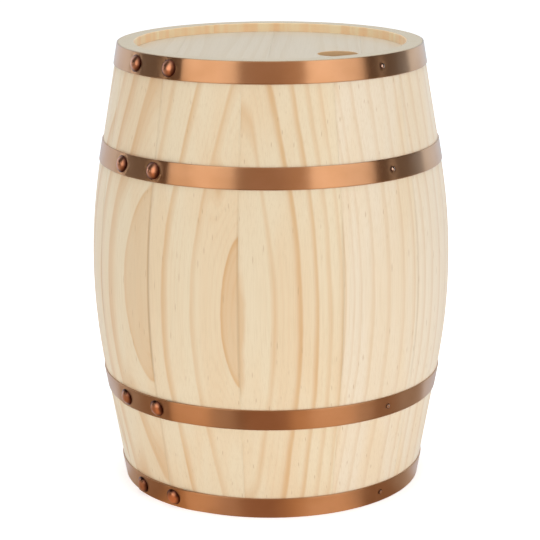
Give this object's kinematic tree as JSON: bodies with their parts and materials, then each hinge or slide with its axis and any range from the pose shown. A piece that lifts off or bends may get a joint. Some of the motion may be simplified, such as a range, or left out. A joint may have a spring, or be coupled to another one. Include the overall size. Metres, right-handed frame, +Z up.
{
  "type": "wooden firkin",
  "caption": "Small bellied pine cask standing on end, with riveted copper hoops, recessed flat heads and an open tap hole in the top head.",
  "frame": {"origin": "centre of the foot, on the plane that the stave ends stand on", "axes": "+Z up the cask's axis, -Y towards the picture's front, +X to the right seen from there"},
  "size_m": [0.3999, 0.3999, 0.495],
  "materials": {
    "stave_pine": "bare planed pine, satin",
    "head_pine": "bare planed pine",
    "dowel_beech": "turned",
    "hoop_copper": "brushed copper, satin",
    "rivet_copper": "polished copper",
    "nail_copper": "copper, satin"
  },
  "bodies": {
    "root": {"stave_01": "stave_pine", "stave_02": "stave_pine", "stave_03": "stave_pine", "stave_04": "stave_pine", "stave_05": "stave_pine", "stave_06": "stave_pine", "stave_07": "stave_pine", "stave_08": "stave_pine", "stave_09": "stave_pine", "stave_10": "stave_pine", "stave_11": "stave_pine", "stave_12": "stave_pine", "top_head_left_cant": "head_pine", "top_head_left_middle": "head_pine", "top_head_right_middle": "head_pine", "top_head_right_cant": "head_pine", "bottom_head_left_cant": "head_pine", "bottom_head_left_middle": "head_pine", "bottom_head_right_middle": "head_pine", "bottom_head_right_cant": "head_pine", "top_head_dowels": "dowel_beech", "bottom_head_dowels": "dowel_beech", "top_chime_hoop": "hoop_copper", "top_quarter_hoop": "hoop_copper", "bottom_quarter_hoop": "hoop_copper", "bottom_chime_hoop": "hoop_copper", "top_chime_rivets": "rivet_copper", "top_quarter_rivets": "rivet_copper", "bottom_quarter_rivets": "rivet_copper", "bottom_chime_rivets": "rivet_copper", "top_chime_nails": "nail_copper", "top_quarter_nails": "nail_copper", "bottom_quarter_nails": "nail_copper", "bottom_chime_nails": "nail_copper"}
  },
  "joints": []
}
